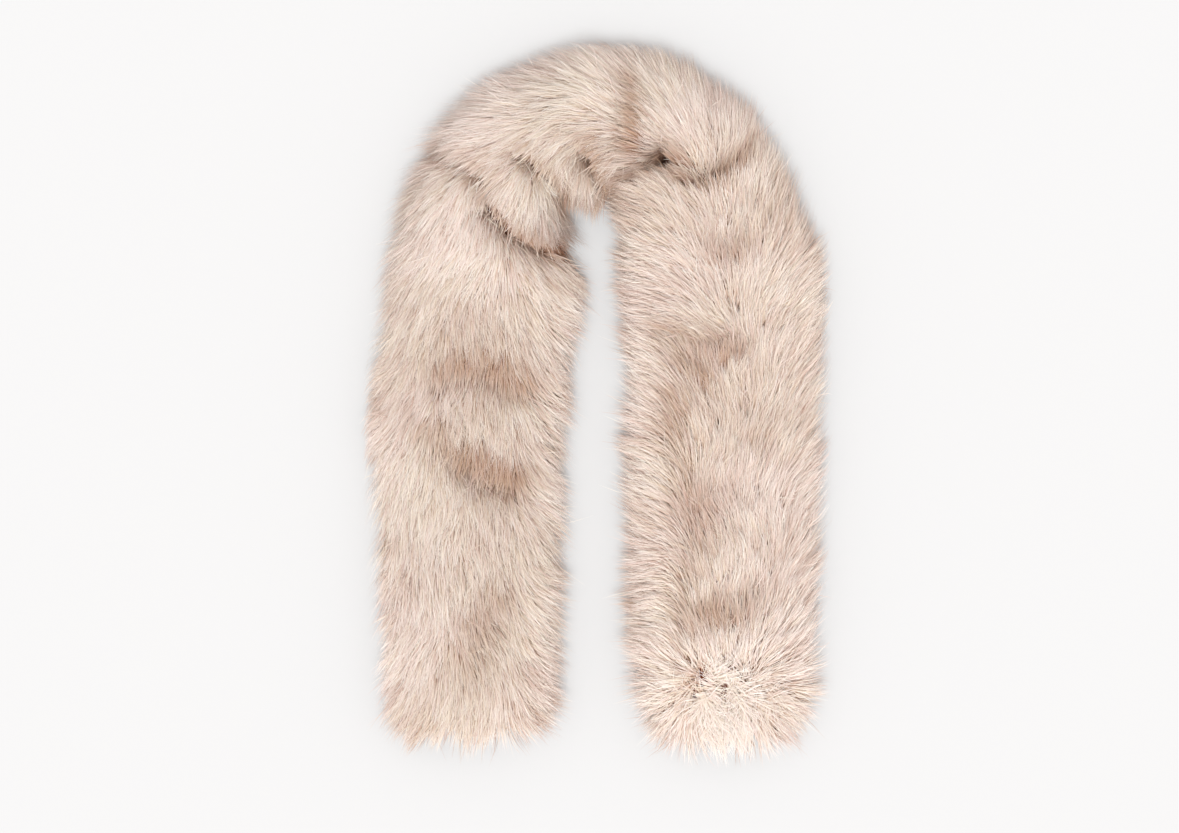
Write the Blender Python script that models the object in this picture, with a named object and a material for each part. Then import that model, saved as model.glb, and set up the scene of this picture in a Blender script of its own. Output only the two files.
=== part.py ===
"""A long-pile fur collar wrap, laid flat in a horseshoe with its two tails side by side.

The wrap is one long flat tube of fur cloth: an upper panel and an under panel, sewn together
along both sides and across both ends. Each panel is a wall made of the backing and the reach of
its pile, and the two lie on each other. Each is made in three stretches: the left tail, the neck,
which is bunched where it turns, and the right tail.

The script works in metres with +Z up. X runs across the two tails and Y along them, towards the
neck. The origin is under the middle of the wrap, on the surface that it lies on.
"""

import math

import bmesh
import bpy
import numpy as np

# ---------------------------------------------------------------- driving sizes

NECK_RADIUS = 0.1005     # the half round that the middle of the strip follows at the neck
NECK_Y = 0.1455          # the centre of that half round, between the tops of the tails
LEFT_LENGTH = 0.586      # round the strip from the middle of the neck to the left tail's end
RIGHT_LENGTH = 0.604     # and to the right tail's end
LEFT_SPLIT = -0.140      # where the left tail meets the neck, along the shoulder fold
RIGHT_SPLIT = 0.114      # where the right tail goes under the neck's overlapping pleat

SEAM_HEIGHT = 0.014      # the side seam over the surface: the flattened pile of the under panel
SEAM_GAP = 0.0003        # between pieces that are sewn or lie together
END_ROUND = 0.036        # how far along a tail its end's corners are rounded
END_INSET = 0.027        # how far each corner draws in
END_CROWN = 0.040        # the stretch over which a tail's crown comes down to its end seam
END_BLUNT = 0.28         # the share of the crown that is left at the very end
END_ROLL = 0.010         # the stretch over which the under panel's end rolls up off the surface

TAIL_STEP = 0.0125       # between sections on a tail
NECK_STEP = 0.0070       # between sections on the neck, where the folds are close
CORNER_STEPS = 6         # sections round a tail's end
CROWN_FACETS = 22        # facets across the upper panel
ROLL_FACETS = 3          # facets down each side of the under panel
CROWN_POWER = 2.5        # 2 is an ellipse; more is a fuller shoulder
CONTACT_SHARE = 0.90     # the share of a section's width that lies flat on the surface

# One row for each section that the cloth is set out on. along is its distance round the strip
# from the middle of the neck, negative on the left. out and in_ are how far the pile reaches on
# the horseshoe's outer and inner side of the strip's middle. top is the height of its crown.
SECTION_COLUMNS = ("name", "along", "out", "in_", "top")
SECTIONS = (
    ("left end",        -0.586, 0.0780, 0.0640, 0.038),
    ("left low",        -0.513, 0.0815, 0.0645, 0.045),
    ("left mid",        -0.418, 0.0860, 0.0655, 0.047),
    ("left waist",      -0.323, 0.0903, 0.0677, 0.046),
    ("left high",       -0.245, 0.0875, 0.0725, 0.049),
    ("left shoulder",   -0.185, 0.0800, 0.0745, 0.055),
    ("left turn",       -0.124, 0.0684, 0.0716, 0.065),
    ("left crown",      -0.072, 0.0660, 0.0580, 0.070),
    ("left of middle",  -0.033, 0.0555, 0.0540, 0.070),
    ("middle",           0.005, 0.0525, 0.0545, 0.068),
    ("right of middle",  0.043, 0.0620, 0.0515, 0.070),
    ("right crown",      0.080, 0.0690, 0.0560, 0.071),
    ("right turn",       0.123, 0.0705, 0.0675, 0.066),
    ("right shoulder",   0.178, 0.0825, 0.0705, 0.055),
    ("right high",       0.254, 0.0899, 0.0706, 0.048),
    ("right waist",      0.331, 0.0903, 0.0712, 0.047),
    ("right mid",        0.416, 0.0895, 0.0675, 0.047),
    ("right low",        0.501, 0.0863, 0.0637, 0.046),
    ("right end",        0.604, 0.0785, 0.0615, 0.040),
)

# One row for each fold or dimple of the upper panel: a trough along the line from one point to
# the other, seen from above. depth is the share of the crown that it takes away at the first
# point, and fade is the share of that depth left at the other. near and far are its half-widths
# towards the left tail's end and towards the right tail's end, measured round the strip.
FOLD_COLUMNS = ("name", "x0", "y0", "x1", "y1", "depth", "fade", "near", "far")
FOLDS = (
    ("shoulder fold",     -0.022,  0.127, -0.099,  0.172, 0.72, 0.40, 0.022, 0.011),
    ("shoulder crease",   -0.098,  0.200, -0.146,  0.222, 0.30, 0.60, 0.016, 0.012),
    ("left gather",       -0.024,  0.172, -0.064,  0.216, 0.60, 0.35, 0.014, 0.012),
    ("middle gather",      0.004,  0.184, -0.010,  0.223, 0.60, 0.35, 0.012, 0.012),
    ("crown pleat",        0.033,  0.226,  0.027,  0.276, 0.28, 0.80, 0.012, 0.012),
    ("pleat mouth",        0.060,  0.208,  0.006,  0.186, 0.76, 0.85, 0.012, 0.014),
    ("pleat turn",         0.060,  0.209,  0.079,  0.187, 0.76, 0.60, 0.012, 0.014),
    ("pleat tail",         0.079,  0.187,  0.131,  0.220, 0.46, 0.25, 0.012, 0.017),
    ("left upper dimple", -0.061,  0.020, -0.136,  0.014, 0.26, 0.60, 0.013, 0.016),
    ("left waist crease", -0.105, -0.062, -0.146, -0.030, 0.20, 0.60, 0.015, 0.015),
    ("left lower dimple", -0.066, -0.076, -0.112, -0.064, 0.28, 0.70, 0.016, 0.014),
    ("left low hollow",   -0.084, -0.196, -0.122, -0.160, 0.16, 0.60, 0.020, 0.020),
    ("right top hollow",   0.098,  0.142,  0.124,  0.147, 0.15, 0.80, 0.015, 0.015),
    ("right curl",         0.120,  0.054,  0.048,  0.070, 0.26, 0.70, 0.015, 0.016),
    ("right high dimple",  0.062,  0.030,  0.104,  0.016, 0.18, 0.70, 0.015, 0.015),
    ("right mid hollow",   0.070, -0.046,  0.102, -0.104, 0.17, 0.90, 0.018, 0.017),
    ("right low hollow",   0.088, -0.132,  0.120, -0.196, 0.15, 0.80, 0.018, 0.018),
    ("right end parting",  0.078, -0.234,  0.124, -0.238, 0.20, 0.90, 0.015, 0.015),
)

UPPER_COLOUR = (0.70, 0.57, 0.48, 1.0)
UNDER_COLOUR = (0.52, 0.40, 0.33, 1.0)
PILE_ROUGHNESS = 0.85

TINY = 1e-9              # keeps a direction defined where its length is nothing


# ---------------------------------------------------------------- the strip's own frame

def column(rows, columns, name):
    """One named column of a table, as an array."""
    return np.array([row[columns.index(name)] for row in rows], float)


def read_sections(name, along):
    """A column of SECTIONS at distances along the strip, by a cubic through its rows."""
    knots = column(SECTIONS, SECTION_COLUMNS, "along")
    values = column(SECTIONS, SECTION_COLUMNS, name)
    slopes = np.gradient(values, knots)
    i = np.clip(np.searchsorted(knots, along) - 1, 0, len(knots) - 2)
    span = knots[i + 1] - knots[i]
    t = (along - knots[i]) / span
    rise = values[i + 1] - values[i]
    start_bend = slopes[i] * span - rise
    end_bend = rise - slopes[i + 1] * span
    return values[i] + t * rise + t * (1 - t) * (start_bend * (1 - t) + end_bend * t)


def strip_frame(along):
    """The strip's middle and the level unit vector outward there: a half round, then straight."""
    half_turn = math.pi / 2 * NECK_RADIUS
    turn = np.clip(along, -half_turn, half_turn) / NECK_RADIUS
    outward = np.column_stack((np.sin(turn), np.cos(turn)))
    down_the_tail = np.maximum(np.abs(along) - half_turn, 0.0)
    middle = NECK_RADIUS * outward + np.column_stack((0 * along, NECK_Y - down_the_tail))
    return middle, outward


def way_along(outward):
    """The level unit vector along the strip, towards the right tail's end."""
    return np.array((outward[1], -outward[0]))


def near_end(along, stretch):
    """0 over most of the strip, rising to 1 over the last stretch before each end."""
    from_end = np.minimum(along + LEFT_LENGTH, RIGHT_LENGTH - along)
    return np.clip(1 - from_end / stretch, 0.0, 1.0)


def crown_kept(points, way):
    """The share of the crown that the folds leave at each point seen from above.

    way is the direction that the strip runs in there, which tells a fold's near side from its far.
    """
    kept = np.ones(len(points))
    for row in FOLDS:
        fold = dict(zip(FOLD_COLUMNS, row, strict=True))
        start = np.array((fold["x0"], fold["y0"]))
        line = np.array((fold["x1"], fold["y1"])) - start
        t = np.clip((points - start) @ line / (line @ line), 0.0, 1.0)
        away = points - (start + t[:, None] * line)
        distance = np.linalg.norm(away, axis=1)
        side = away @ way / np.maximum(distance, TINY)
        width = fold["near"] + (fold["far"] - fold["near"]) * (1 + side) / 2
        trough = np.exp(-(distance / width) ** 2)
        kept *= 1 - fold["depth"] * (1 - t * (1 - fold["fade"])) * trough
    return kept


# ---------------------------------------------------------------- sections

def across(lateral, along, middle, outward):
    """Plan points across one section, from lateral 1 at the outer seam to -1 at the inner."""
    corner = near_end(along, END_ROUND)
    inset = END_INSET * (1 - math.sqrt(1 - corner**2))
    out = read_sections("out", along) - inset
    in_ = read_sections("in_", along) - inset
    reach = np.where(lateral > 0, lateral * out, lateral * in_)
    return middle + reach[:, None] * outward


def upper_ring(along, middle, outward):
    """The upper panel's section: flat on the seam's level, crowned over it, folded."""
    angle = np.linspace(0.0, math.pi, CROWN_FACETS + 1)
    power = 2 / CROWN_POWER
    lateral = np.sign(np.cos(angle)) * np.abs(np.cos(angle)) ** power
    plan = across(lateral, along, middle, outward)
    end_drop = (1 - END_BLUNT) * (1 - math.sqrt(1 - near_end(along, END_CROWN) ** 2))
    crown = (read_sections("top", along) - SEAM_HEIGHT) * (1 - end_drop)
    height = crown * np.abs(np.sin(angle)) ** power * crown_kept(plan, way_along(outward))
    return np.column_stack((plan, SEAM_HEIGHT + SEAM_GAP / 2 + height))


def under_ring(along, middle, outward):
    """The under panel's section: flat at the seam and on the surface, with rolled sides."""
    angle = np.linspace(0.0, math.pi / 2, ROLL_FACETS + 1)
    side = CONTACT_SHARE + (1 - CONTACT_SHARE) * np.cos(angle)
    plan = across(np.concatenate((side, -side[::-1])), along, middle, outward)
    thickness = (SEAM_HEIGHT - SEAM_GAP / 2) * math.sqrt(1 - 0.95 * near_end(along, END_ROLL) ** 2)
    level = SEAM_HEIGHT - SEAM_GAP / 2 - thickness * np.sin(angle)
    return np.column_stack((plan, np.concatenate((level, level[::-1]))))


def stretch_stations():
    """The distances along the strip of each stretch's sections."""
    def even(start, end, step):
        return np.linspace(start, end, round((end - start) / step) + 1)

    from_end = END_ROUND * (1 - np.cos(np.linspace(0.0, math.pi / 2, CORNER_STEPS + 1)))
    left_body = even(from_end[-1] - LEFT_LENGTH, LEFT_SPLIT, TAIL_STEP)
    right_body = even(RIGHT_SPLIT, RIGHT_LENGTH - from_end[-1], TAIL_STEP)
    return {
        "left_tail": np.concatenate((from_end[:-1] - LEFT_LENGTH, left_body)),
        "neck": even(LEFT_SPLIT, RIGHT_SPLIT, NECK_STEP),
        "right_tail": np.concatenate((right_body, RIGHT_LENGTH - from_end[-2::-1])),
    }


# ---------------------------------------------------------------- solids

def loft(name, rings, material, collection):
    """A closed solid through a row of rings, with a face across each end."""
    shape = bmesh.new()
    loops = [[shape.verts.new(point) for point in ring] for ring in rings]
    for loop, following in zip(loops, loops[1:]):
        for i, vert in enumerate(loop):
            j = (i + 1) % len(loop)
            shape.faces.new((vert, loop[j], following[j], following[i]))
    shape.faces.new(loops[0])
    shape.faces.new(loops[-1])
    bmesh.ops.recalc_face_normals(shape, faces=shape.faces)
    mesh = bpy.data.meshes.new(name)
    shape.to_mesh(mesh)
    shape.free()
    mesh.materials.append(material)
    mesh.shade_smooth()
    mesh.set_sharp_from_angle(angle=math.radians(50))
    collection.objects.link(bpy.data.objects.new(name, mesh))


def fur_material(name, colour):
    material = bpy.data.materials.new(name)
    material.use_nodes = True
    shader = material.node_tree.nodes["Principled BSDF"]
    shader.inputs["Base Color"].default_value = colour
    shader.inputs["Roughness"].default_value = PILE_ROUGHNESS
    shader.inputs["Metallic"].default_value = 0.0
    return material


def build_wrap():
    for old in list(bpy.data.objects):
        bpy.data.objects.remove(old)
    collection = bpy.data.collections.new("fur_collar_wrap")
    bpy.context.scene.collection.children.link(collection)

    panels = {
        "upper": (upper_ring, fur_material("upper_fur", UPPER_COLOUR)),
        "under": (under_ring, fur_material("under_fur", UNDER_COLOUR)),
    }
    pieces = {}
    for stretch, along in stretch_stations().items():
        middle, outward = strip_frame(along)
        middle[0] += SEAM_GAP / 2 * way_along(outward[0])
        middle[-1] -= SEAM_GAP / 2 * way_along(outward[-1])
        for panel, (ring, material) in panels.items():
            rings = [ring(*section) for section in zip(along, middle, outward, strict=True)]
            pieces[f"{stretch}_{panel}"] = (rings, material)

    points = np.concatenate([ring for rings, _ in pieces.values() for ring in rings])
    centre = (points.min(axis=0) + points.max(axis=0)) / 2 * (1, 1, 0)
    for name, (rings, material) in pieces.items():
        loft(name, [ring - centre for ring in rings], material, collection)


build_wrap()
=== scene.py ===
"""The looks of the fur collar wrap: its two backing cloths and the long pile that grows on them.

The backing follows the same strip as the CAD solids, drawn in by the depth of the pile. The pile is
flat tapering strands, long guard hair over short underfur and browner pressed pile below, combed
along the strip from the right tail's end round the neck to the left tail's end, and gathered into
locks. Lengths are in metres, in the CAD's own frame, and plan points in the tables are measured
before the wrap is centred.
"""

import math

import bpy
import numpy as np
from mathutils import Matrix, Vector, kdtree


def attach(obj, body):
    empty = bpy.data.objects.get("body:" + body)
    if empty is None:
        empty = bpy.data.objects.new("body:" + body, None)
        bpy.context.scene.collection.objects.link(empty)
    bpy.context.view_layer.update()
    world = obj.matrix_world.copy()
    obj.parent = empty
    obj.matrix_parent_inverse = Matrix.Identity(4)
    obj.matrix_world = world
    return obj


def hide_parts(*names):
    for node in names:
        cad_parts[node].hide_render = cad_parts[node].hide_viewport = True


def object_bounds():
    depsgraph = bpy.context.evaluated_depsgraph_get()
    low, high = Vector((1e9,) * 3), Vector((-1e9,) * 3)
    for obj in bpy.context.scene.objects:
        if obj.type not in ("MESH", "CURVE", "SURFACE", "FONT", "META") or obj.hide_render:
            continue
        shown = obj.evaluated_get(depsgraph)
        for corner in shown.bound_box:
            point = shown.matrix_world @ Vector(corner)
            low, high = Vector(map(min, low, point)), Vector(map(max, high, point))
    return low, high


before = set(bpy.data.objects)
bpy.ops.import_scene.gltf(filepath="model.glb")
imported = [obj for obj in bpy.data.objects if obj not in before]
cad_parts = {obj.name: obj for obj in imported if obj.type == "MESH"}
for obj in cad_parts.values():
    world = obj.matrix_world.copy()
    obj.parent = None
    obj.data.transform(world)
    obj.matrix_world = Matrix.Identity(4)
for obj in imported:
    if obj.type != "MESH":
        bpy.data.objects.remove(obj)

cad_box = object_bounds()
LOWS, HIGHS = (np.array(corner, float) for corner in cad_box)
rng = np.random.default_rng(11)

# ---------------------------------------------------------------- the strip, as the CAD lays it

NECK_RADIUS = 0.1005     # the half round that the middle of the strip follows at the neck
NECK_Y = 0.1455          # the centre of that half round, before the wrap is centred
LEFT_LENGTH = 0.586      # round the strip from the middle of the neck to the left tail's end
RIGHT_LENGTH = 0.604     # and to the right tail's end
LEFT_SPLIT = -0.140      # where the left tail meets the neck
RIGHT_SPLIT = 0.114      # where the right tail meets the neck
SEAM_HEIGHT = 0.014      # the side seam over the surface

SECTION_COLUMNS = ("name", "along", "out", "in_", "top")
SECTIONS = (
    ("left end",        -0.586, 0.0780, 0.0640, 0.038),
    ("left low",        -0.513, 0.0815, 0.0645, 0.045),
    ("left mid",        -0.418, 0.0860, 0.0655, 0.047),
    ("left waist",      -0.323, 0.0903, 0.0677, 0.046),
    ("left high",       -0.245, 0.0875, 0.0725, 0.049),
    ("left shoulder",   -0.185, 0.0800, 0.0745, 0.055),
    ("left turn",       -0.124, 0.0684, 0.0716, 0.065),
    ("left crown",      -0.072, 0.0660, 0.0580, 0.070),
    ("left of middle",  -0.033, 0.0555, 0.0540, 0.070),
    ("middle",           0.005, 0.0525, 0.0545, 0.068),
    ("right of middle",  0.043, 0.0620, 0.0515, 0.070),
    ("right crown",      0.080, 0.0690, 0.0560, 0.071),
    ("right turn",       0.123, 0.0705, 0.0675, 0.066),
    ("right shoulder",   0.178, 0.0825, 0.0705, 0.055),
    ("right high",       0.254, 0.0899, 0.0706, 0.048),
    ("right waist",      0.331, 0.0903, 0.0712, 0.047),
    ("right mid",        0.416, 0.0895, 0.0675, 0.047),
    ("right low",        0.501, 0.0863, 0.0637, 0.046),
    ("right end",        0.604, 0.0785, 0.0615, 0.040),
)

# Each fold is a trough of the upper cloth along a line of plan points. depth is the share of the
# crown that it takes at the first point, and fade the share of that left at the last. near and
# far are its half-widths towards the left tail's end and towards the right tail's end. stop is
# the share of the hairs combed across it that it turns down, and spill how far past the line
# those still reach. bare is the half-width of the strip along the line where the pile is short,
# and fold_shade how much browner the pile is drawn over it, out to shade_spread on either side:
# painted shade in the fold, partly the pile's browner depths showing where it parts.
FOLD_COLUMNS = (
    "name", "line", "depth", "fade", "near", "far", "stop", "spill", "bare", "fold_shade", "shade_spread"
)
FOLDS = (
    ("shoulder fold",
     ((-0.018, 0.136), (-0.036, 0.133), (-0.053, 0.137), (-0.074, 0.151), (-0.098, 0.177)),
     0.60, 0.75, 0.013, 0.008, 0.95, 0.003, 0.002, 0.80, 0.009),
    ("shoulder crease",
     ((-0.089, 0.194), (-0.106, 0.206), (-0.121, 0.214), (-0.138, 0.218)),
     0.36, 0.70, 0.012, 0.009, 0.70, 0.005, 0.003, 0.62, 0.009),
    ("left gather",
     ((-0.031, 0.167), (-0.029, 0.180), (-0.034, 0.190), (-0.048, 0.202), (-0.064, 0.216)),
     0.50, 0.55, 0.010, 0.008, 0.85, 0.004, 0.002, 0.60, 0.008),
    ("middle gather",
     ((0.008, 0.186), (0.000, 0.196), (-0.003, 0.206), (-0.010, 0.218)),
     0.70, 0.70, 0.009, 0.007, 0.95, 0.003, 0.004, 0.85, 0.009),
    ("crown pleat",
     ((0.026, 0.220), (0.028, 0.238), (0.029, 0.256), (0.026, 0.276)),
     0.20, 0.55, 0.010, 0.008, 0.45, 0.007, 0.001, 0.92, 0.009),
    ("pleat mouth",
     ((0.061, 0.211), (0.052, 0.202), (0.035, 0.197), (0.018, 0.191), (0.006, 0.190)),
     0.60, 0.85, 0.009, 0.009, 0.90, 0.003, 0.003, 0.60, 0.007),
    ("pleat turn",
     ((0.061, 0.211), (0.060, 0.200), (0.070, 0.189), (0.086, 0.186), (0.100, 0.192)),
     0.34, 0.60, 0.007, 0.008, 0.75, 0.004, 0.001, 0.60, 0.007),
    ("pleat tail",
     ((0.100, 0.192), (0.114, 0.203), (0.125, 0.214), (0.130, 0.226)),
     0.26, 0.70, 0.007, 0.010, 0.70, 0.005, 0.001, 0.75, 0.008),
    ("pleat hole",
     ((0.052, 0.206), (0.063, 0.211)),
     0.66, 0.90, 0.008, 0.008, 1.00, 0.001, 0.008, 0.98, 0.010),
    ("left upper dimple",
     ((-0.064, 0.018), (-0.078, 0.021), (-0.095, 0.032), (-0.114, 0.033), (-0.136, 0.026)),
     0.38, 0.60, 0.014, 0.011, 0.50, 0.007, 0.002, 0.80, 0.013),
    ("left waist crease",
     ((-0.112, -0.050), (-0.124, -0.040), (-0.136, -0.030), (-0.150, -0.024)),
     0.32, 0.60, 0.013, 0.011, 0.45, 0.007, 0.002, 0.60, 0.012),
    ("left lower dimple",
     ((-0.074, -0.064), (-0.088, -0.059), (-0.101, -0.054), (-0.112, -0.048)),
     0.42, 0.80, 0.016, 0.011, 0.50, 0.007, 0.002, 0.85, 0.015),
    ("left low hollow",
     ((-0.088, -0.176), (-0.102, -0.194), (-0.110, -0.212)),
     0.18, 0.60, 0.020, 0.016, 0.40, 0.010, 0.002, 0.55, 0.022),
    ("right top hollow",
     ((0.100, 0.134), (0.112, 0.130), (0.120, 0.136)),
     0.22, 0.80, 0.013, 0.012, 0.35, 0.008, 0.002, 0.50, 0.012),
    ("right curl",
     ((0.118, 0.048), (0.094, 0.046), (0.074, 0.052), (0.052, 0.066)),
     0.30, 0.80, 0.014, 0.012, 0.50, 0.007, 0.002, 0.60, 0.012),
    ("right high dimple",
     ((0.090, 0.024), (0.078, 0.032), (0.066, 0.042)),
     0.28, 0.70, 0.013, 0.012, 0.40, 0.007, 0.002, 0.60, 0.011),
    ("right parting",
     ((0.062, 0.010), (0.068, -0.046), (0.078, -0.072), (0.086, -0.108), (0.074, -0.170),
      (0.080, -0.200), (0.077, -0.224)),
     0.12, 0.90, 0.012, 0.012, 0.30, 0.009, 0.002, 0.36, 0.014),
    ("right low hollow",
     ((0.098, -0.172), (0.118, -0.176), (0.134, -0.166)),
     0.16, 0.80, 0.014, 0.013, 0.40, 0.009, 0.002, 0.50, 0.015),
)

STRETCHES = {
    "left_tail": (-LEFT_LENGTH, LEFT_SPLIT),
    "neck": (LEFT_SPLIT, RIGHT_SPLIT),
    "right_tail": (RIGHT_SPLIT, RIGHT_LENGTH),
}

# ---------------------------------------------------------------- cloth and pile sizes

UPPER_PILE = 0.020       # the pile's depth over the upper cloth
UNDER_PILE = 0.0065      # its depth pressed under the wrap
LEFT_END_PILE = 0.019    # how far it reaches past the left tail's end seam
RIGHT_END_PILE = 0.030   # and past the right tail's
BACKING = 0.0018         # the backing cloth's thickness
CORNER = 0.036           # how far along a tail the cloth's corners are rounded
CORNER_INSET = 0.022     # how far each corner draws in
FOLD_WOBBLE = 0.0026     # how unevenly the hairs meet a fold
STAND = 0.35             # the share of a fold's slope that the pile beside it follows
FLOOR_GAP = 0.0006       # how near the surface a strand lies
EASY_REACH = np.array((0.007, 0.008, 0.001))  # how far past the CAD's box strands go freely
HELD_BACK = 0.6          # the share of their reach past that which they lose
TINY = 1e-9

# How far inside the CAD's outline the cloth's outer and inner seams run, for the pile to fill.
MARGIN_COLUMNS = ("name", "along", "outer", "inner")
MARGINS = (
    ("left end",      -0.586, 0.019, 0.022),
    ("left low",      -0.500, 0.017, 0.024),
    ("left mid",      -0.400, 0.014, 0.022),
    ("left waist",    -0.320, 0.016, 0.021),
    ("left high",     -0.240, 0.020, 0.018),
    ("left shoulder", -0.180, 0.021, 0.010),
    ("left turn",     -0.124, 0.022, 0.016),
    ("left crown",    -0.066, 0.028, 0.016),
    ("middle",         0.005, 0.014, 0.005),
    ("right crown",    0.072, 0.029, 0.011),
    ("right turn",     0.123, 0.024, 0.008),
    ("right shoulder", 0.178, 0.018, 0.015),
    ("right high",     0.254, 0.020, 0.021),
    ("right mid",      0.420, 0.022, 0.019),
    ("right low",      0.520, 0.022, 0.019),
    ("right end",      0.604, 0.032, 0.022),
)

# How the pile is combed, in degrees turned from straight along the strip: outwards at the outer
# edge, inwards at the inner edge, and drift outwards in the middle. The inward turn starts at the
# share begin of the way from the middle to the inner edge, and is complete at the share done.
NAP_COLUMNS = ("name", "along", "outer", "inner", "drift", "begin", "done")
NAP = (
    ("left end",      -0.586, 26, 52,   0, 0.30, 1.10),
    ("left low",      -0.460, 24, 58,   0, 0.40, 1.05),
    ("left mid",      -0.390, 32, 56,   0, 0.40, 1.05),
    ("left waist",    -0.300, 42, 52,   0, 0.30, 1.10),
    ("left high",     -0.240, 40, 54,   0, 0.20, 1.05),
    ("left shoulder", -0.185, 44, 62,   0, 0.05, 1.00),
    ("left turn",     -0.120, 30, 46,   0, 0.00, 1.00),
    ("left crown",    -0.050, 40, 70,   8, 0.00, 1.00),
    ("middle",         0.010, 44, 64,   6, 0.00, 1.00),
    ("right crown",    0.060, 44, 34,  14, 0.00, 1.00),
    ("right turn",     0.123, 34, 44,   2, 0.00, 1.00),
    ("right shoulder", 0.178, 26, 58,  -4, 0.00, 1.00),
    ("right high",     0.260, 28, 78,  -8, 0.00, 0.90),
    ("right waist",    0.330, 28, 72,  -6, 0.15, 0.85),
    ("right low",      0.500, 34, 74,   0, 0.30, 0.80),
    ("right end",      0.604, 36, 64,   0, 0.20, 0.90),
)
OUTER_EASE = 1.7

# Places where the pile is combed its own way: a plan point, the heading in degrees
# anticlockwise from +X, how far round it that is felt, and how strongly.
COMB_COLUMNS = ("name", "x", "y", "heading", "reach", "strength")
COMBS = (
    ("neck flap",         -0.044,  0.160, 268, 0.022, 1.0),
    ("neck edge",         -0.014,  0.188, 262, 0.014, 1.0),
    ("right curl",         0.080,  0.070, 178, 0.022, 1.6),
    ("right curl outer",   0.108,  0.056, 160, 0.012, 0.8),
    ("below left dimples", -0.126, -0.084, 212, 0.018, 1.2),
    ("left outer locks",  -0.166, -0.062, 272, 0.022, 1.0),
)

# Where the pile parts near the right tail's end, from its inner side to its outer side. Below the
# parting it fans towards the end, and PARTING_REACH is how far up the tail the fan is felt. NEST is
# how far apart neighbouring locks take the parting to be, which crosses them over one another.
PARTING = ((0.090, -0.238), (0.130, -0.240))
PARTING_REACH = 0.020
NEST = 0.0100
PALE_FOOT, PALE_REACH = 0.35, 0.026  # how far up the colour chart roots start there, and how widely

# Where the pile is drawn paler, or browner for less than 0: a plan point, how far round it, how
# much.
# These are partly the pile's own patchy colour and partly painted light and shade: paler where
# slopes such as the crown and shoulders turn from the key light, browner in shallow hollows.
PATCH_COLUMNS = ("name", "x", "y", "reach", "paler")
PATCHES = (
    ("left crown",          -0.085,  0.250, 0.050,  0.22),
    ("crown",                0.000,  0.270, 0.055,  0.26),
    ("right crown",          0.080,  0.248, 0.045,  0.10),
    ("left shoulder",       -0.155,  0.185, 0.060,  0.28),
    ("below shoulder fold", -0.095,  0.140, 0.022,  0.22),
    ("beside left gather",  -0.055,  0.190, 0.016,  0.18),
    ("left outer locks",    -0.176, -0.045, 0.050,  0.25),
    ("left inner waist",    -0.060, -0.070, 0.020,  0.20),
    ("left inner low",      -0.062, -0.170, 0.040,  0.20),
    ("left outer low",      -0.170, -0.200, 0.045,  0.18),
    ("right neck edge",      0.032,  0.170, 0.028, -0.25),
    ("below right curl",     0.036, -0.010, 0.025,  0.22),
    ("right middle",         0.100, -0.100, 0.026, -0.36),
    ("above nest",           0.096, -0.200, 0.013, -0.35),
    ("right inner middle",   0.050, -0.022, 0.018,  0.15),
    ("right low",            0.097, -0.158, 0.014, -0.15),
    ("right high inner",     0.040,  0.002, 0.022,  0.10),
    ("below right pleat",    0.034,  0.155, 0.030, -0.22),
    ("left high",           -0.100,  0.100, 0.035, -0.12),
    ("right shoulder",       0.165,  0.115, 0.030, -0.14),
    ("between dimples",     -0.098, -0.010, 0.016, -0.12),
    ("right side",           0.182, -0.080, 0.030,  0.15),
    ("left inner crown",    -0.035,  0.165, 0.014,  0.20),

    ("right inner low",      0.072, -0.225, 0.028,  0.22),
    ("right end",            0.110, -0.262, 0.040,  0.15),
    ("right end outer",      0.175, -0.240, 0.040,  0.30),
    ("nest",                 0.106, -0.240, 0.022,  0.30),
)


# ---------------------------------------------------------------- the strip's frame

def column(rows, columns, name):
    return np.array([row[columns.index(name)] for row in rows], float)


def smooth_read(rows, columns, name, along):
    """A column of a table at distances along the strip, by a cubic through its rows."""
    knots, values = column(rows, columns, "along"), column(rows, columns, name)
    along = np.clip(along, knots[0], knots[-1])
    slopes = np.gradient(values, knots)
    i = np.clip(np.searchsorted(knots, along) - 1, 0, len(knots) - 2)
    span = knots[i + 1] - knots[i]
    t = (along - knots[i]) / span
    rise = values[i + 1] - values[i]
    start_bend = slopes[i] * span - rise
    end_bend = rise - slopes[i + 1] * span
    return values[i] + t * rise + t * (1 - t) * (start_bend * (1 - t) + end_bend * t)


def strip_frame(along):
    """The strip's middle in plan and the unit vector outward there, before it is centred."""
    half_turn = math.pi / 2 * NECK_RADIUS
    turn = np.clip(along, -half_turn, half_turn) / NECK_RADIUS
    outward = np.column_stack((np.sin(turn), np.cos(turn)))
    down_the_tail = np.maximum(np.abs(along) - half_turn, 0.0)
    middle = NECK_RADIUS * outward + np.column_stack((0 * along, NECK_Y - down_the_tail))
    return middle, outward


def way_along(outward):
    return np.column_stack((outward[:, 1], -outward[:, 0]))


def outline_centre():
    """The middle of the wrap's outline, which the CAD puts over the origin."""
    along = np.linspace(-LEFT_LENGTH, RIGHT_LENGTH, 600)
    middle, outward = strip_frame(along)
    out = smooth_read(SECTIONS, SECTION_COLUMNS, "out", along)[:, None]
    in_ = smooth_read(SECTIONS, SECTION_COLUMNS, "in_", along)[:, None]
    edges = np.concatenate((middle + out * outward, middle - in_ * outward))
    return (edges.min(axis=0) + edges.max(axis=0)) / 2


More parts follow.
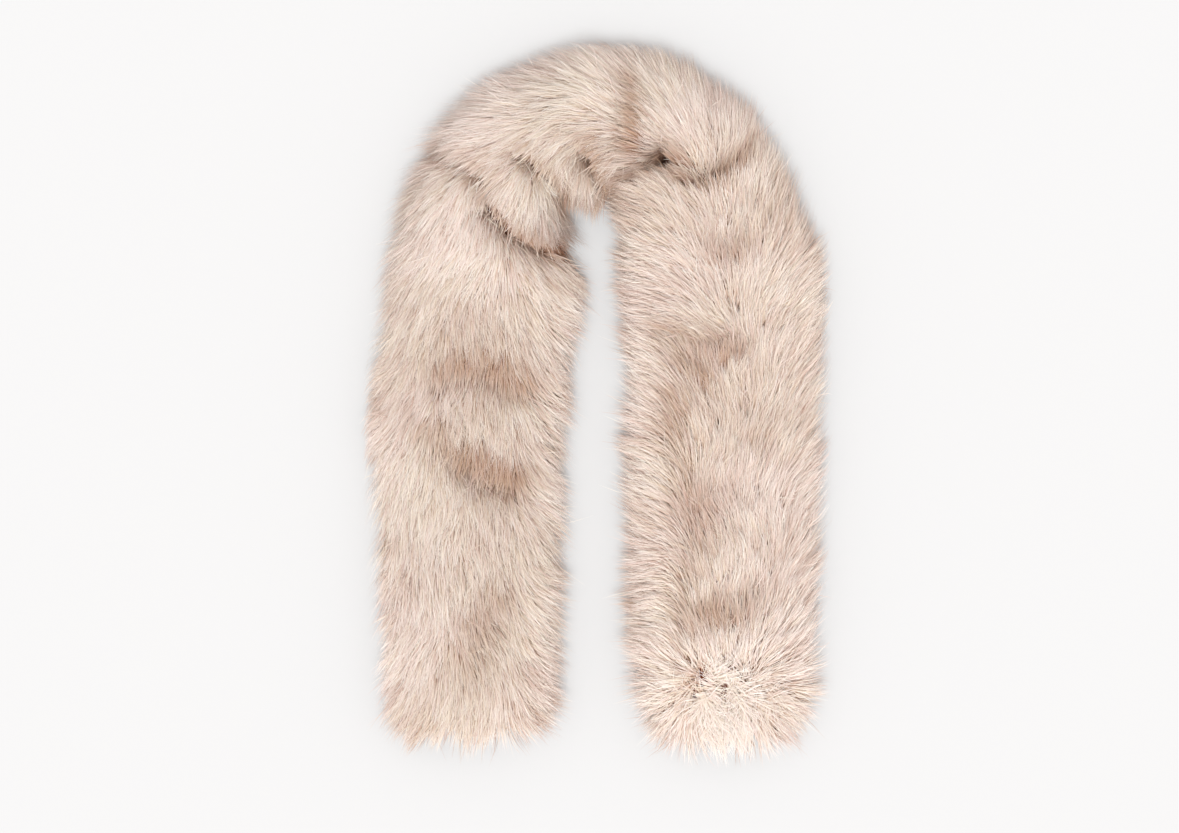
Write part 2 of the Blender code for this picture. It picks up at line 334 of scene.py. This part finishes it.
def off_fold(points, fold):
    """From each plan point to the nearest of a fold's line, and how far along the line that is."""
    line = np.array(fold["line"])
    lengths = np.linalg.norm(np.diff(line, axis=0), axis=1)
    starts = np.concatenate(([0.0], np.cumsum(lengths)))
    best = np.full(len(points), np.inf)
    away, place = np.zeros((len(points), 2)), np.zeros(len(points))
    for i, length in enumerate(lengths):
        step = line[i + 1] - line[i]
        t = np.clip((points - line[i]) @ step / length**2, 0.0, 1.0)
        off = points - (line[i] + t[:, None] * step)
        distance = np.linalg.norm(off, axis=1)
        nearer = distance < best
        best = np.where(nearer, distance, best)
        away = np.where(nearer[:, None], off, away)
        place = np.where(nearer, (starts[i] + t * length) / starts[-1], place)
    return away, best, place


def crown_kept(points, way):
    """The share of the crown that the folds leave at each plan point."""
    kept = np.ones(len(points))
    for row in FOLDS:
        fold = dict(zip(FOLD_COLUMNS, row, strict=True))
        away, distance, place = off_fold(points, fold)
        side = np.einsum("ij,ij->i", away, way) / np.maximum(distance, TINY)
        width = fold["near"] + (fold["far"] - fold["near"]) * (1 + side) / 2
        trough = np.exp(-(distance / width) ** 2)
        kept *= 1 - fold["depth"] * (1 - place * (1 - fold["fade"])) * trough
    return kept


def beside_folds(points):
    """At each plan point, the share of the pile's length left and how much browner it is drawn, as
    painted shade in the folds.
    """
    kept, fold_shade = np.ones(len(points)), np.zeros(len(points))
    for row in FOLDS:
        fold = dict(zip(FOLD_COLUMNS, row, strict=True))
        _, distance, place = off_fold(points, fold)
        kept *= 1 - fold["depth"] * np.exp(-(distance / fold["bare"]) ** 2)
        shade_spread = fold["fold_shade"] * np.exp(-(distance / fold["shade_spread"]) ** 2)
        fold_shade = np.maximum(fold_shade, shade_spread * (1 - 0.3 * place))
    return kept, fold_shade


CENTRE = outline_centre()
CLOTH_START, CLOTH_END = -LEFT_LENGTH + LEFT_END_PILE, RIGHT_LENGTH - RIGHT_END_PILE


def cloth_at(along, angle, folded=1.0):
    """Points on the backing. angle goes round the tube: 0 at the outer seam, pi at the inner.

    folded is the share of the folds' depth that is kept.
    """
    middle, outward = strip_frame(along)
    from_end = np.minimum(along - CLOTH_START, CLOTH_END - along)
    corner = np.clip(1 - from_end / CORNER, 0.0, 1.0)
    inset = CORNER_INSET * (1 - np.sqrt(1 - corner**2))
    lateral = np.cos(angle)
    out = smooth_read(SECTIONS, SECTION_COLUMNS, "out", along) - inset
    out -= smooth_read(MARGINS, MARGIN_COLUMNS, "outer", along)
    in_ = smooth_read(SECTIONS, SECTION_COLUMNS, "in_", along) - inset
    in_ -= smooth_read(MARGINS, MARGIN_COLUMNS, "inner", along)
    plan = middle + (np.where(lateral > 0, out, in_) * lateral)[:, None] * outward
    kept = 1 - folded * (1 - crown_kept(plan, way_along(outward)))
    crown = (smooth_read(SECTIONS, SECTION_COLUMNS, "top", along) - SEAM_HEIGHT) * kept - UPPER_PILE
    crown = np.logaddexp(0, crown / 0.003) * 0.003 * (1 - 0.6 * corner**2)
    sag = SEAM_HEIGHT - UNDER_PILE
    rise = np.sin(angle)
    height = SEAM_HEIGHT + np.where(rise > 0, crown, sag) * rise
    return np.column_stack((plan - CENTRE, height)), kept


def cloth_frame(along, angle):
    """Points on the backing, and the way that the pile stands there.

    The pile is stiff enough to stand as if the folds were far shallower than they are.
    """
    step, turn = 0.0008, 0.02
    low = np.maximum(along - step, CLOTH_START)
    high = np.minimum(along + step, CLOTH_END)
    along_way = cloth_at(high, angle, STAND)[0] - cloth_at(low, angle, STAND)[0]
    round_way = cloth_at(along, angle + turn, STAND)[0] - cloth_at(along, angle - turn, STAND)[0]
    normal = unit(np.cross(round_way, along_way))
    return cloth_at(along, angle)[0], normal


# ---------------------------------------------------------------- noise and nap

def waves(points, size, seed, count=14):
    """Smooth noise about 0, of about unit strength and features about size across."""
    own = np.random.default_rng(seed)
    ways = own.normal(size=(count, points.shape[1])) * (math.pi / size / 1.6)
    phases = own.uniform(0, 2 * math.pi, count)
    return np.sin(points @ ways.T + phases).sum(axis=1) * math.sqrt(2 / count)


def unit(vectors):
    return vectors / np.maximum(np.linalg.norm(vectors, axis=-1, keepdims=True), TINY)


def turned(vectors, degrees):
    """Plan vectors turned anticlockwise."""
    c, s = np.cos(np.radians(degrees)), np.sin(np.radians(degrees))
    x, y = vectors[:, 0], vectors[:, 1]
    return np.column_stack((c * x - s * y, s * x + c * y))


def nap_in_plan(along, angle, plan):
    """The direction, seen from above, that the pile is combed in at each root."""
    _, outward = strip_frame(along)
    way = -way_along(outward)
    lateral = np.cos(angle)
    outer = smooth_read(NAP, NAP_COLUMNS, "outer", along)
    inner = smooth_read(NAP, NAP_COLUMNS, "inner", along)
    drift = smooth_read(NAP, NAP_COLUMNS, "drift", along)
    begin = smooth_read(NAP, NAP_COLUMNS, "begin", along)
    done = smooth_read(NAP, NAP_COLUMNS, "done", along)
    turned_in = np.clip((-lateral - begin) / (done - begin), 0, 1)
    turned_in = turned_in**2 * (3 - 2 * turned_in)
    splay = np.where(lateral > 0, outer * np.abs(lateral) ** OUTER_EASE, -inner * turned_in)
    splay += drift * (1 - np.abs(lateral))
    splay = np.radians(splay)[:, None]
    nap = way * np.cos(splay) + outward * np.sin(splay)
    start, end = np.array(PARTING) - CENTRE
    line = end - start
    t = np.clip((plan - start) @ line / (line @ line), 0.0, 1.0)
    away = plan - (start + t[:, None] * line)
    above = np.maximum(away[:, 1], 0.0)
    away = away + NEST * np.column_stack((waves(plan, 0.005, 11), waves(plan, 0.005, 12)))
    in_fan = np.where(along > 0, np.exp(-(above / PARTING_REACH) ** 2), 0.0)[:, None]
    nap = unit(nap * (1 - in_fan) + unit(away) * in_fan)
    for row in COMBS:
        comb = dict(zip(COMB_COLUMNS, row, strict=True))
        off = np.linalg.norm(plan + CENTRE - np.array((comb["x"], comb["y"])), axis=1)
        felt = comb["strength"] * np.exp(-(off / comb["reach"]) ** 2)
        heading = math.radians(comb["heading"])
        nap = unit(nap + felt[:, None] * np.array((math.cos(heading), math.sin(heading))))
    bend = 8 * waves(plan, 0.055, 1) + 7 * waves(plan, 0.022, 2) + 5 * waves(plan, 0.011, 3)
    return turned(nap, bend)


# ---------------------------------------------------------------- strands

# How far strands lean from upright, in degrees: at their roots over the wrap and under it, at
# their tips at a seam, and how much more than that at their tips on top.
UPPER_LEAN, UNDER_LEAN = 22.0, 62.0
SEAM_LEAN, FLAT_LEAN = 56, 28
DROOP = 0.004            # how far tips at a seam sink
LOCK_TONE, STRAND_TONE = 0.06, 0.11   # how much tones differ from lock to lock and hair to hair
CLOUD_TONE = 0.05        # and in wider patches
BELOW_TONE = 0.5         # how much darker the pile is drawn below the seam: painted shade under the wrap's side, partly its roots showing
WISP_TONE = 0.25         # how much darker the wisps are
WISP_LENGTH = 1.16       # and how much longer
BARE_LENGTH = 0.15       # the share of its length that the pile keeps in the barest fold


def cloth_roots(count, stretch, arc, weight):
    """Random roots, even over the cloth's area times weight: distances along it and angles."""
    start, end = STRETCHES[stretch]
    start, end = max(start, CLOTH_START), min(end, CLOTH_END)
    along_edges = np.linspace(start, end, round((end - start) / 0.004))
    angle_edges = np.linspace(*arc, 60)
    a, g = np.meshgrid(along_edges, angle_edges, indexing="ij")
    grid = cloth_at(a.ravel(), g.ravel())[0].reshape(*a.shape, 3)
    area = np.linalg.norm(
        np.cross(grid[1:, 1:] - grid[:-1, :-1], grid[1:, :-1] - grid[:-1, 1:]), axis=2
    )
    mid_angle = (g[1:, 1:] + g[:-1, :-1]) / 2
    share = (area * weight(mid_angle)).ravel()
    cells = rng.choice(len(share), count, p=share / share.sum())
    i, j = np.unravel_index(cells, area.shape)
    along = along_edges[i] + rng.random(count) * (along_edges[1] - along_edges[0])
    angle = angle_edges[j] + rng.random(count) * (angle_edges[1] - angle_edges[0])
    return along, angle


def grow(along, angle, length, yaw, lift, shares):
    """Strand centre lines, one row of points at the given shares of each strand's length.

    Each starts near upright, leans over in the direction of the nap turned by yaw degrees, and
    ends nearly flat. lift takes degrees off its lean.
    """
    root, normal = cloth_frame(along, angle)
    nap = turned(nap_in_plan(along, angle, root[:, :2]), yaw)
    nap = np.column_stack((nap, np.zeros(len(nap))))
    lying = unit(nap - np.einsum("ij,ij->i", nap, normal)[:, None] * normal)
    up = normal[:, 2]
    first = np.where(up > -0.2, UPPER_LEAN, UNDER_LEAN) - lift
    last = SEAM_LEAN + FLAT_LEAN * np.abs(up) - lift
    steps = 12
    points = [root]
    for k in range(steps):
        lean = np.radians(first + (last - first) * ((k + 0.5) / steps) ** 0.7)[:, None]
        step = (normal * np.cos(lean) + lying * np.sin(lean)) * (length / steps)[:, None]
        points.append(points[-1] + step)
    points = np.stack(points, axis=1)
    at = np.array(shares) * steps
    low = np.minimum(at.astype(int), steps - 1)
    part = (at - low)[None, :, None]
    line = points[:, low] * (1 - part) + points[:, low + 1] * part
    droop = DROOP * np.array(shares) ** 2 * np.clip(1 - np.abs(up), 0, 1)[:, None]
    line[:, :, 2] -= droop
    return line, normal, lying


def turned_down(root, tip):
    """The share of each strand's reach that it keeps, where the folds turn strands down."""
    kept = np.ones(len(root))
    wobble = np.column_stack((waves(root, 0.016, 7), waves(root, 0.016, 8))) * FOLD_WOBBLE
    root, reach = root + wobble, tip - root
    length = np.maximum(np.linalg.norm(reach, axis=1), TINY)
    for row in FOLDS:
        fold = dict(zip(FOLD_COLUMNS, row, strict=True))
        points = np.array(fold["line"]) - CENTRE
        tuck = rng.random(len(root)) < fold["stop"]
        spill = fold["spill"] * 2.2 * rng.random(len(root)) ** 1.6
        for start, end in zip(points[:-1], points[1:], strict=True):
            line, gap = end - start, start - root
            cross = reach[:, 0] * line[1] - reach[:, 1] * line[0]
            cross = np.where(np.abs(cross) < TINY, TINY, cross)
            at_strand = (gap[:, 0] * line[1] - gap[:, 1] * line[0]) / cross
            at_fold = (gap[:, 0] * reach[:, 1] - gap[:, 1] * reach[:, 0]) / cross
            crosses = (at_strand > 0) & (at_strand < 1) & (at_fold > -0.02) & (at_fold < 1.02)
            left = at_strand + spill / length
            kept = np.where(crosses & tuck, np.minimum(kept, left), kept)
    return kept


def ribbons(line, facing, widths):
    """Flat tapering strands along centre lines: points, and the same faces for every strand."""
    tangent = np.gradient(line, axis=1)
    across = unit(np.cross(tangent, facing[:, None, :]))
    half = across * widths[:, :, None] / 2
    sides = np.stack((line - half, line + half), axis=2)[:, :-1]
    count, rows = line.shape[0], line.shape[1] - 1
    points = np.concatenate((sides.reshape(count, rows * 2, 3), line[:, -1:]), axis=1)
    quads = [(2 * r, 2 * r + 1, 2 * r + 3, 2 * r + 2) for r in range(rows - 1)]
    tip = (2 * rows - 2, 2 * rows - 1, 2 * rows)
    return points, quads, tip


def strand_mesh(name, points, quads, tip, palette, shares, foot, reach):
    """One mesh of many strands.

    palette is each strand's place across the colour chart, and foot and reach are how far up the
    chart its root and its tip are.
    """
    count, per_strand = points.shape[:2]
    corners = np.array([v for face in quads for v in face] + list(tip))
    totals = np.array([4] * len(quads) + [3])
    first = (np.arange(count) * per_strand)[:, None]
    mesh = bpy.data.meshes.new(name)
    mesh.vertices.add(count * per_strand)
    mesh.vertices.foreach_set("co", points.astype(np.float32).ravel())
    mesh.loops.add(count * len(corners))
    mesh.loops.foreach_set("vertex_index", (first + corners).astype(np.int32).ravel())
    mesh.polygons.add(count * len(totals))
    starts = np.cumsum(np.tile(totals, count)) - np.tile(totals, count)
    mesh.polygons.foreach_set("loop_start", starts.astype(np.int32))
    mesh.update(calc_edges=True)
    side = np.where(corners == per_strand - 1, 0.0, (corners % 2) - 0.5) * 0.002
    height = foot[:, None] + (reach - foot)[:, None] * np.array(shares)[corners // 2]
    uv = np.stack((palette[:, None] + side[None, :], height * 0.98 + 0.01), axis=2)
    mesh.uv_layers.new(name="OFBake").data.foreach_set("uv", uv.astype(np.float32).ravel())
    mesh.shade_smooth()
    mesh.validate()
    piece = bpy.data.objects.new(name, mesh)
    bpy.context.scene.collection.objects.link(piece)
    return piece


def swayed(normal, lying, shares, size):
    """Sideways waves along strands, growing towards their tips."""
    count, s = len(normal), np.array(shares)[None, :]
    waviness = rng.uniform(3, 8, count)[:, None]
    sway = np.sin(s * waviness + rng.uniform(0, 2 * math.pi, count)[:, None]) * s
    sway *= rng.normal(0, size, count)[:, None]
    return np.cross(normal, lying)[:, None, :] * sway[:, :, None]


def layer(name, stretch, arc, count, look, material):
    """One layer of pile on one stretch. look holds its sizes."""
    shares = look["shares"]
    lock_count = max(200, int(count / look["per_lock"]))
    weight = look.get("weight", lambda angle: np.ones_like(angle))
    lock_along, lock_angle = cloth_roots(lock_count, stretch, arc, weight)
    lock_yaw = rng.normal(0, look["lock_yaw"], lock_count)
    lock_length = look["length"] * rng.normal(1, 0.07, lock_count)
    lock_lift = rng.normal(0, 4, lock_count)
    lock_line, lock_normal, lock_lying = grow(
        lock_along, lock_angle, lock_length, lock_yaw, lock_lift, shares
    )
    lock_line += swayed(lock_normal, lock_lying, shares, look["lock_sway"])
    tree = kdtree.KDTree(lock_count)
    for i, point in enumerate(lock_line[:, 0]):
        tree.insert(point, i)
    tree.balance()

    along, angle = cloth_roots(count, stretch, arc, weight)
    point = cloth_at(along, angle)[0]
    lock = np.array([tree.find(p)[1] for p in point])
    stray = rng.random(count) < look["stray"]
    yaw = lock_yaw[lock] + rng.normal(0, look["yaw"], count) + stray * rng.normal(0, 24, count)
    lift = lock_lift[lock] + rng.normal(0, 5, count) + stray * rng.uniform(-4, 14, count)
    length = lock_length[lock] * rng.uniform(1 - look["uneven"], 1.04, count)
    wisp = (rng.random(count) < look["wisps"]) & (np.abs(np.cos(angle)) > 0.7)
    length *= np.where(wisp, WISP_LENGTH, 1.0)
    if look["folded"]:
        length *= BARE_LENGTH + (1 - BARE_LENGTH) * beside_folds(point[:, :2] + CENTRE)[0]
    line, normal, lying = grow(along, angle, length, yaw, lift, shares)
    if look["folded"]:
        on_top = normal[:, 2] > 0
        length *= np.where(on_top, turned_down(line[:, 0, :2], line[:, -1, :2]), 1.0)
        line, normal, lying = grow(along, angle, length, yaw, lift, shares)

    s = np.array(shares)
    pull = look["clump"] * rng.uniform(0.6, 1.1, lock_count)[lock] * ~stray
    full = (length / lock_length[lock])[:, None, None]
    lock_way = lock_line[lock] - lock_line[lock][:, :1]
    target = lock_line[lock][:, :1] + lock_way * full
    line += (target - line) * (pull[:, None] * s**1.4)[:, :, None]
    line += swayed(normal, lying, shares, look["sway"])
    past = np.maximum(line - HIGHS - EASY_REACH, 0) - np.maximum(LOWS - EASY_REACH - line, 0)
    line -= HELD_BACK * past
    line[:, :, 2] = np.maximum(line[:, :, 2], FLOOR_GAP)

    facing = unit(normal + rng.normal(0, look["roll"], (count, 3)))
    width = look["width"] * rng.uniform(0.7, 1.3, count)
    taper = np.clip(1.0 - s**look["taper"], 0.12, 1)
    points, quads, tip = ribbons(line, facing, width[:, None] * taper)

    # painted shade: strands lying over a fold are drawn browner, partly the pile's browner depths
    # showing there
    fold_shade = beside_folds(line[:, len(shares) // 2, :2] + CENTRE)[1]
    # painted shade: the pile below the seam is drawn darker, as it lies under the wrap's side
    below = np.clip(-np.sin(angle) * 1.3, 0, 1)
    tone = look["tone"] + rng.normal(0, LOCK_TONE, lock_count)[lock]
    tone += rng.normal(0, STRAND_TONE, count) - fold_shade - BELOW_TONE * below
    tone += CLOUD_TONE * (waves(point[:, :2], 0.05, 5) + waves(point[:, :2], 0.016, 6))
    # painted light and shade from the patches, with the pile's own patchy colour
    for row in PATCHES:
        patch = dict(zip(PATCH_COLUMNS, row, strict=True))
        off = np.linalg.norm(point[:, :2] + CENTRE - np.array((patch["x"], patch["y"])), axis=1)
        tone += patch["paler"] * np.exp(-(off / patch["reach"]) ** 2)
    tone = np.clip(tone, 0.01, 0.99)
    tone -= WISP_TONE * wisp
    hue = rng.choice(HUES, count, p=HUE_SHARES)
    straw_here = waves(point[:, :2], 0.05, 9) + rng.normal(0, 1.2, count) > 0
    hue = np.where((hue == PINK) & straw_here, STRAW, hue)
    hue = np.where((hue == STRAW) & ~straw_here, PINK, hue)
    hue = np.where((rng.random(count) < below * 0.7) | wisp, MAUVE, hue)
    from_nest = np.linalg.norm(point[:, :2] + CENTRE - np.array(PARTING).mean(axis=0), axis=1)
    foot = PALE_FOOT * np.exp(-(from_nest / PALE_REACH) ** 2)
    reach = np.clip(length / lock_length[lock] / 0.8, 0.45, 1.0)
    palette = (hue + 0.02 + 0.96 * tone) / HUES
    piece = strand_mesh(name, points, quads, tip, palette, shares, foot, reach)
    piece.data.materials.append(material)
    return piece


HUES = 4                 # cream, pink, straw and mauve
PINK, STRAW, MAUVE = 1, 2, 3
HUE_SHARES = (0.38, 0.26, 0.24, 0.12)


# Each layer's look. shares are the places along a strand where it has points. length, width and
# taper are the strand's; uneven is how much shorter strands may be. Strands gather into locks of
# per_lock, pulled together by clump. yaw and lock_yaw turn them from the nap, in degrees, stray is
# the share that lie wild, sway and lock_sway their waves, and roll how they twist. tone runs from
# 0, dark, to 1, light, wisps is the share of long dark hairs at the seams, and weight how densely
# they grow round the tube.
GUARD = dict(
    shares=(0.0, 0.36, 0.70, 1.0), length=0.041, per_lock=9, lock_yaw=7, yaw=5, stray=0.05,
    uneven=0.28, clump=0.24, sway=0.0012, lock_sway=0.0026, roll=0.13, width=0.00056, taper=2.0,
    tone=0.74, folded=True, wisps=0.07, weight=lambda angle: 1 + 1.1 * np.abs(np.cos(angle)) ** 3,
)
# The pressed pile's low tone is partly painted shade, as it lies under the wrap.
PRESSED = dict(
    GUARD, folded=False, tone=0.36, per_lock=10, length=0.046, clump=0.55,
    weight=lambda angle: 1 + 2 * np.abs(np.cos(angle)) ** 4,
)
WOOL = dict(
    shares=(0.0, 0.5, 1.0), length=0.028, per_lock=12, lock_yaw=14, yaw=14, stray=0.0,
    uneven=0.35, clump=0.20, sway=0.0015, lock_sway=0.002, roll=0.16, width=0.0018, taper=2.2,
    tone=0.82, folded=True, wisps=0.0,
)


# ---------------------------------------------------------------- materials

def node(tree, kind, **values):
    made = tree.nodes.new(kind)
    for name, value in values.items():
        setattr(made, name, value)
    return made


def ramp(tree, factor, stops, interpolation="LINEAR"):
    """A colour ramp on factor. stops are (place, colour)."""
    made = node(tree, "ShaderNodeValToRGB")
    made.color_ramp.interpolation = interpolation
    elements = made.color_ramp.elements
    while len(elements) < len(stops):
        elements.new(0.5)
    for element, (place, colour) in zip(elements, stops, strict=True):
        element.position = place
        element.color = (*colour, 1)
    tree.links.new(factor, made.inputs["Fac"])
    return made.outputs["Color"]


def mixed(tree, factor, a, b, blend="MIX"):
    made = node(tree, "ShaderNodeMix", data_type="RGBA", blend_type=blend)
    for socket, value in ((0, factor), (6, a), (7, b)):
        if hasattr(value, "is_linked"):
            tree.links.new(value, made.inputs[socket])
        else:
            made.inputs[socket].default_value = value
    return made.outputs[2]


def arithmetic(tree, operation, a, b):
    made = node(tree, "ShaderNodeMath", operation=operation)
    tree.links.new(a, made.inputs[0])
    made.inputs[1].default_value = b
    return made.outputs[0]


# The colours of the darkest and the lightest strands from root to tip, and each hue's tint.
# The browns towards the roots are partly painted shade, the warm brown that light takes deep in
# the pile, as well as the pile's own darker roots.
DARK = (
    (0.00, (0.11, 0.035, 0.017)),
    (0.30, (0.36, 0.170, 0.100)),
    (0.70, (0.56, 0.380, 0.275)),
    (1.00, (0.62, 0.475, 0.385)),
)
LIGHT = (
    (0.00, (0.30, 0.120, 0.060)),
    (0.22, (0.80, 0.570, 0.420)),
    (0.50, (0.93, 0.840, 0.755)),
    (1.00, (0.95, 0.930, 0.910)),
)
TINTS = (
    (0.00, (0.985, 0.985, 0.970)),
    (0.25, (0.985, 0.925, 0.920)),
    (0.50, (0.970, 0.945, 0.875)),
    (0.75, (0.870, 0.780, 0.775)),
)


def fur_material(name):
    """Strands coloured by their chart: tone and hue across it, root to tip up it."""
    material = bpy.data.materials.new(name)
    material.use_nodes = True
    tree = material.node_tree
    shader = tree.nodes["Principled BSDF"]
    chart = node(tree, "ShaderNodeUVMap", uv_map="OFBake")
    split = node(tree, "ShaderNodeSeparateXYZ")
    tree.links.new(chart.outputs["UV"], split.inputs[0])
    column_of = arithmetic(tree, "MULTIPLY", split.outputs["X"], HUES)
    tone = arithmetic(tree, "FRACT", column_of, 0)
    up = split.outputs["Y"]
    colour = mixed(tree, tone, ramp(tree, up, DARK), ramp(tree, up, LIGHT))
    tint = ramp(tree, split.outputs["X"], TINTS, "CONSTANT")
    colour = mixed(tree, 1.0, colour, tint, "MULTIPLY")
    tree.links.new(colour, shader.inputs["Base Color"])
    shader.inputs["Roughness"].default_value = 0.55
    shader.inputs["Specular IOR Level"].default_value = 0.04
    return material


def backing_material():
    """The backing, a mottled dark brown as it shows deep in the folds: partly the cloth's own
    brown, partly painted shade.
    """
    material = bpy.data.materials.new("backing_cloth")
    material.use_nodes = True
    tree = material.node_tree
    shader = tree.nodes["Principled BSDF"]
    place = node(tree, "ShaderNodeTexCoord")
    cloud = node(tree, "ShaderNodeTexNoise")
    cloud.inputs["Scale"].default_value = 60
    cloud.inputs["Detail"].default_value = 6
    tree.links.new(place.outputs["Object"], cloud.inputs["Vector"])
    # painted shade: the backing is drawn as dark as it shows in the folds' shade
    stops = ((0.3, (0.15, 0.05, 0.03)), (0.7, (0.25, 0.10, 0.06)))
    tree.links.new(ramp(tree, cloud.outputs["Fac"], stops), shader.inputs["Base Color"])
    shader.inputs["Roughness"].default_value = 0.9
    shader.inputs["Specular IOR Level"].default_value = 0.04
    return material


# ---------------------------------------------------------------- the backing cloths

def cloth(name, stretch, arc, material):
    """One panel's backing on one stretch: an open sheet with its thickness inwards."""
    start, end = STRETCHES[stretch]
    start, end = max(start, CLOTH_START), min(end, CLOTH_END)
    rows = round((end - start) / 0.006)
    columns = 32
    a, g = np.meshgrid(np.linspace(start, end, rows), np.linspace(*arc, columns), indexing="ij")
    points = cloth_at(a.ravel(), g.ravel())[0]
    faces = [
        (r * columns + c, (r + 1) * columns + c, (r + 1) * columns + c + 1, r * columns + c + 1)
        for r in range(rows - 1)
        for c in range(columns - 1)
    ]
    mesh = bpy.data.meshes.new(name)
    mesh.from_pydata(points.tolist(), [], faces)
    mesh.materials.append(material)
    mesh.shade_smooth()
    piece = bpy.data.objects.new(name, mesh)
    bpy.context.scene.collection.objects.link(piece)
    solidify = piece.modifiers.new("thickness", "SOLIDIFY")
    solidify.thickness = BACKING
    solidify.offset = -1
    return piece


UPPER_ARC = (0.03, math.pi - 0.03)                     # the part of the tube each layer covers
UNDER_ARC = (math.pi + 0.03, 2 * math.pi - 0.03)
PILE_ARC = (-0.5, math.pi + 0.5)                       # guard hair and underfur go past both seams
PRESSED_ARC = (math.pi + 0.1, 2 * math.pi - 0.1)

fur = fur_material("fur_guard_hair")
wool = fur_material("fur_underfur")
backing = backing_material()

# Strands of guard hair, underfur and pressed pile on each stretch.
COUNTS = {
    "left_tail": (39500, 14000, 8000),
    "neck": (36000, 12000, 5000),
    "right_tail": (39500, 14500, 8500),
}

for stretch, (guard_count, wool_count, under_count) in COUNTS.items():
    upper = cloth(f"{stretch}_upper_cloth", stretch, UPPER_ARC, backing)
    under = cloth(f"{stretch}_under_cloth", stretch, UNDER_ARC, backing)
    guard = layer(f"{stretch}_guard_hair", stretch, PILE_ARC, guard_count, GUARD, fur)
    wool_piece = layer(f"{stretch}_underfur", stretch, PILE_ARC, wool_count, WOOL, wool)
    pressed = layer(f"{stretch}_pressed_pile", stretch, PRESSED_ARC, under_count, PRESSED, fur)
    for piece in (upper, under, guard, wool_piece, pressed):
        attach(piece, "root")
    for piece, node_name, pile, slot in (
        (upper, f"{stretch}_upper", [guard, wool_piece], "upper_fur"),
        (under, f"{stretch}_under", [pressed], "under_fur"),
    ):
        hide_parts(node_name)

# ---------------------------------------------------------------- floor, light and camera

FLOOR_SIZE = 40
FLOOR_WHITE = (0.61, 0.61, 0.61, 1)
FILL_COLOUR, FILL_STRENGTH = (1, 0.93, 0.90, 1), 0.86
SUN_ANGLE, SUN_ENERGY, SUN_COLOUR = 26, 2.40, (0.97, 1.03, 1.06)
SUN_WAY = (0.05, 0.34, -1)     # nearly straight down, a little towards the neck
FRAME_WIDTH = 1.002            # the width seen at FRAME_HEIGHT over the surface
FRAME_HEIGHT = 0.03
CAMERA_PLACE = (-0.0077, -0.0077, 2.4)
SENSOR = 36

bpy.ops.mesh.primitive_plane_add(size=FLOOR_SIZE)
floor = bpy.context.object
floor.name = "floor"
floor_material = bpy.data.materials.new("floor_white")
floor_material.use_nodes = True
floor_shader = floor_material.node_tree.nodes["Principled BSDF"]
floor_shader.inputs["Base Color"].default_value = FLOOR_WHITE
floor_shader.inputs["Roughness"].default_value = 0.9
floor_shader.inputs["Specular IOR Level"].default_value = 0.1
floor.data.materials.append(floor_material)

world = bpy.data.worlds.new("studio")
world.use_nodes = True
fill = world.node_tree.nodes["Background"]
fill.inputs["Color"].default_value = FILL_COLOUR
fill.inputs["Strength"].default_value = FILL_STRENGTH
bpy.context.scene.world = world

sun = bpy.data.lights.new("key", "SUN")
sun.angle = math.radians(SUN_ANGLE)
sun.energy = SUN_ENERGY
sun.color = SUN_COLOUR
key = bpy.data.objects.new("key", sun)
key.rotation_euler = Vector(SUN_WAY).to_track_quat("-Z", "Y").to_euler()
bpy.context.scene.collection.objects.link(key)

camera_data = bpy.data.cameras.new("camera")
camera_data.sensor_width = SENSOR
camera_data.lens = SENSOR * (CAMERA_PLACE[2] - FRAME_HEIGHT) / FRAME_WIDTH
camera = bpy.data.objects.new("camera", camera_data)
camera.location = CAMERA_PLACE
bpy.context.scene.collection.objects.link(camera)
bpy.context.scene.camera = camera
bpy.context.scene.view_settings.view_transform = "Standard"
